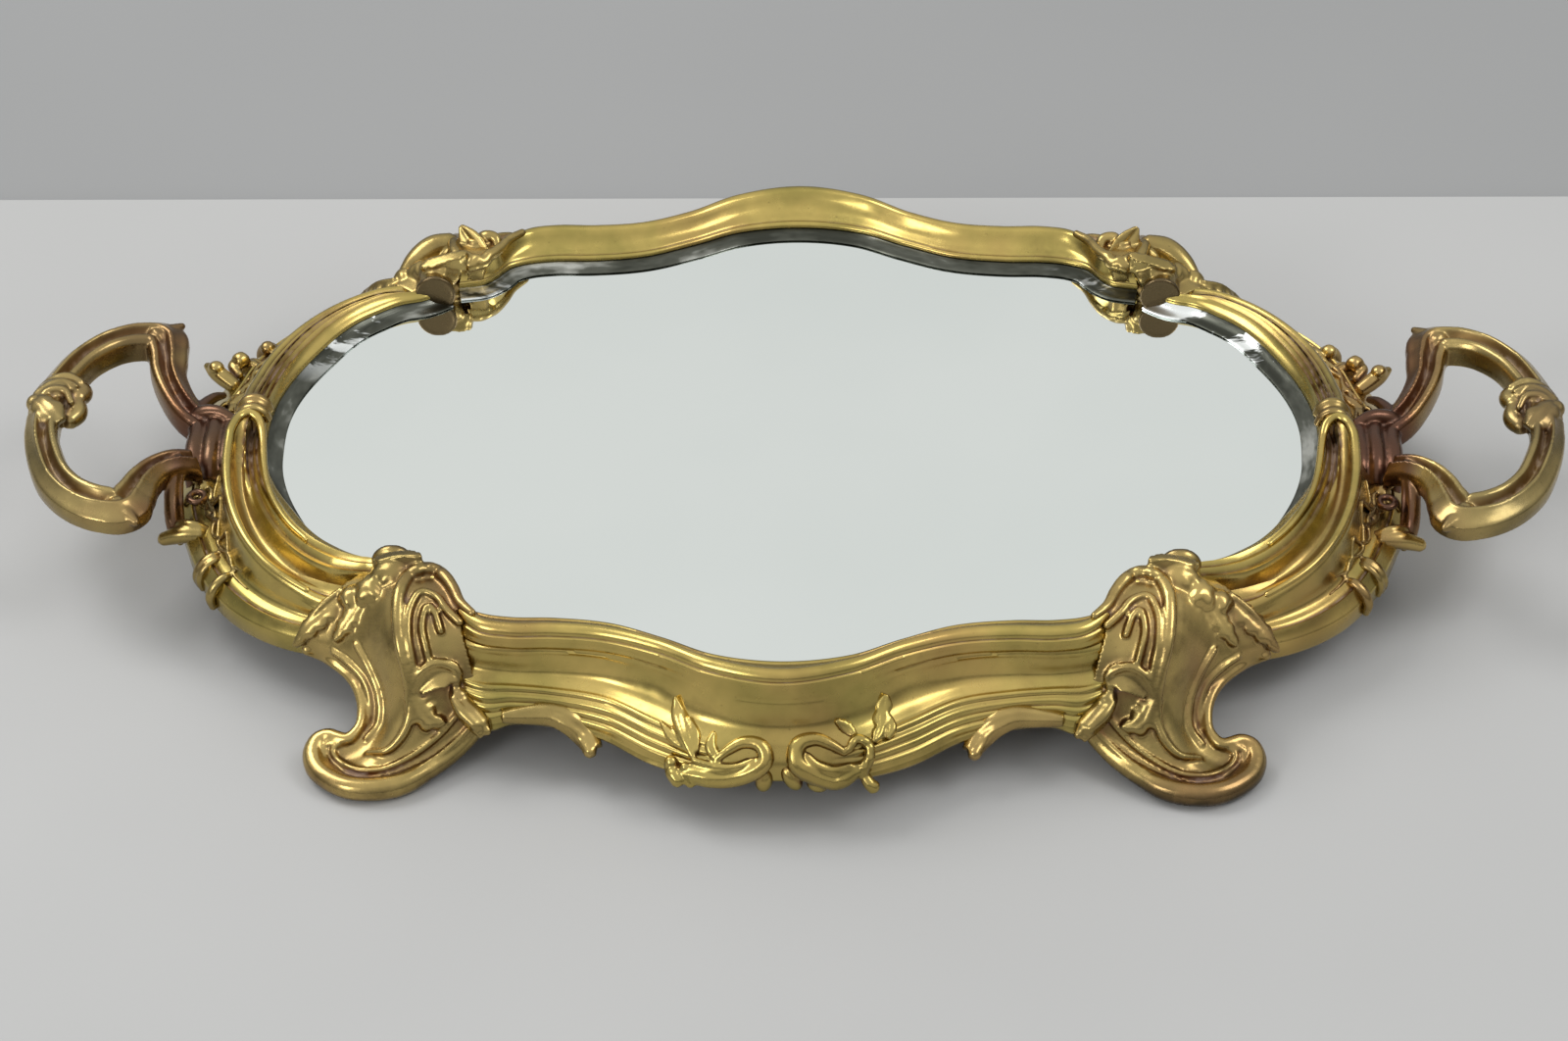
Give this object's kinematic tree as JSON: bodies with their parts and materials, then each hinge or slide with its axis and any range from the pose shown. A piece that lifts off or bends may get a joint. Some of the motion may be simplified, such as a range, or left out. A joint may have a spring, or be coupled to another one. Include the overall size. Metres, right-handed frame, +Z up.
{
  "type": "mirrored vanity tray",
  "caption": "Cartouche-shaped mirror tray in a scrolled cast gilt frame, with loop handles at the ends and low scroll feet.",
  "frame": {"origin": "on the table, under the middle of the tray (bottom centre of the bounding box)", "axes": "+X along the tray towards the right handle, +Y towards the back, +Z up"},
  "size_m": [0.5124, 0.304, 0.0547],
  "materials": {
    "cast_gilt": "aged gilt, polished on the high spots",
    "leg_gilt": "aged gilt with darker recesses",
    "handle_gilt": "worn gilt with reddish recesses",
    "bezel_metal": "dull darkened metal",
    "mirror": "clear silvered glass",
    "card": "matte paperboard",
    "board": "matte thin board",
    "button_brass": "plain dull brass",
    "steel": "plain screws",
    "felt": "felt"
  },
  "bodies": {
    "tray": {"rail_front": "cast_gilt", "bezel_front": "bezel_metal", "rail_back": "cast_gilt", "bezel_back": "bezel_metal", "rail_right": "cast_gilt", "bezel_right": "bezel_metal", "rail_left": "cast_gilt", "bezel_left": "bezel_metal", "collar_right": "cast_gilt", "collar_left": "cast_gilt", "mirror_glass": "mirror", "packing_card": "card", "backing_board": "board", "leg_front_right": "leg_gilt", "foot_pad_front_right": "felt", "leg_screw_front_right_1": "steel", "leg_screw_front_right_2": "steel", "leg_front_left": "leg_gilt", "foot_pad_front_left": "felt", "leg_screw_front_left_1": "steel", "leg_screw_front_left_2": "steel", "leg_back_right": "leg_gilt", "foot_pad_back_right": "felt", "leg_screw_back_right_1": "steel", "leg_screw_back_right_2": "steel", "leg_back_left": "leg_gilt", "foot_pad_back_left": "felt", "leg_screw_back_left_1": "steel", "leg_screw_back_left_2": "steel", "handle_right": "handle_gilt", "handle_screw_right_front": "steel", "handle_screw_right_back": "steel", "handle_left": "handle_gilt", "handle_screw_left_front": "steel", "handle_screw_left_back": "steel", "turn_button_screw_front_right": "steel", "turn_button_screw_front_left": "steel", "turn_button_screw_back_right": "steel", "turn_button_screw_back_left": "steel", "turn_button_screw_right": "steel", "turn_button_screw_left": "steel"},
    "button_front_right": {"turn_button_front_right": "button_brass"},
    "button_front_left": {"turn_button_front_left": "button_brass"},
    "button_back_right": {"turn_button_back_right": "button_brass"},
    "button_back_left": {"turn_button_back_left": "button_brass"},
    "button_right": {"turn_button_right": "button_brass"},
    "button_left": {"turn_button_left": "button_brass"}
  },
  "joints": [
    {"name": "button_front_right_turn", "type": "hinge", "parent": "tray", "child": "button_front_right", "pos_m": [0.0741, -0.1067, 0.0283], "axis": [0, 0, 1], "range_deg": [0, 90]},
    {"name": "button_front_left_turn", "type": "hinge", "parent": "tray", "child": "button_front_left", "pos_m": [-0.0741, -0.1067, 0.0283], "axis": [0, 0, 1], "range_deg": [-90, 0]},
    {"name": "button_back_right_turn", "type": "hinge", "parent": "tray", "child": "button_back_right", "pos_m": [0.0741, 0.1067, 0.0283], "axis": [0, 0, 1], "range_deg": [-90, 0]},
    {"name": "button_back_left_turn", "type": "hinge", "parent": "tray", "child": "button_back_left", "pos_m": [-0.0741, 0.1067, 0.0283], "axis": [0, 0, 1], "range_deg": [0, 90]},
    {"name": "button_right_turn", "type": "hinge", "parent": "tray", "child": "button_right", "pos_m": [0.1802, 0, 0.0283], "axis": [0, 0, 1], "range_deg": [-90, 0]},
    {"name": "button_left_turn", "type": "hinge", "parent": "tray", "child": "button_left", "pos_m": [-0.1802, 0, 0.0283], "axis": [0, 0, 1], "range_deg": [0, 90]}
  ]
}
